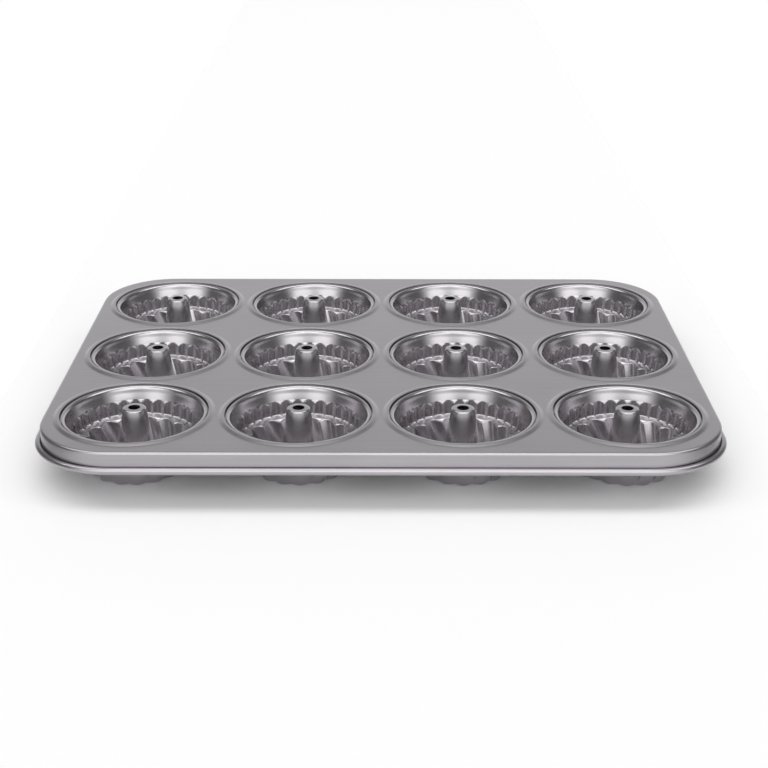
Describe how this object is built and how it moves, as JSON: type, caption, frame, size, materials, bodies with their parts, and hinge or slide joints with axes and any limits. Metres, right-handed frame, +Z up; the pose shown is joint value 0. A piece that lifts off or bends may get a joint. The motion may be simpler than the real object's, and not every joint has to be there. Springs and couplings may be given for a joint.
{
  "type": "mini ring cake pan",
  "caption": "Rectangular baking tray with rows of small swirl-fluted ring cups hung in a flat coated deck, with a short skirt and a wired rolled edge.",
  "frame": {"origin": "on the surface that the pan stands on, under the middle of the deck", "axes": "+X along the long side, +Y away from the viewer of the picture across the short side, +Z up out of the cups"},
  "size_m": [0.3464, 0.266, 0.0323],
  "materials": {
    "deck_coating": "satin metallic grey coating on steel sheet",
    "cup_metal": "bright pressed sheet",
    "wire_steel": "drawn wire"
  },
  "bodies": {
    "root": {"tray_deck": "deck_coating", "rim_wire": "wire_steel", "cup_row1_col1": "cup_metal", "cup_row1_col2": "cup_metal", "cup_row1_col3": "cup_metal", "cup_row1_col4": "cup_metal", "cup_row2_col1": "cup_metal", "cup_row2_col2": "cup_metal", "cup_row2_col3": "cup_metal", "cup_row2_col4": "cup_metal", "cup_row3_col1": "cup_metal", "cup_row3_col2": "cup_metal", "cup_row3_col3": "cup_metal", "cup_row3_col4": "cup_metal"}
  },
  "joints": []
}
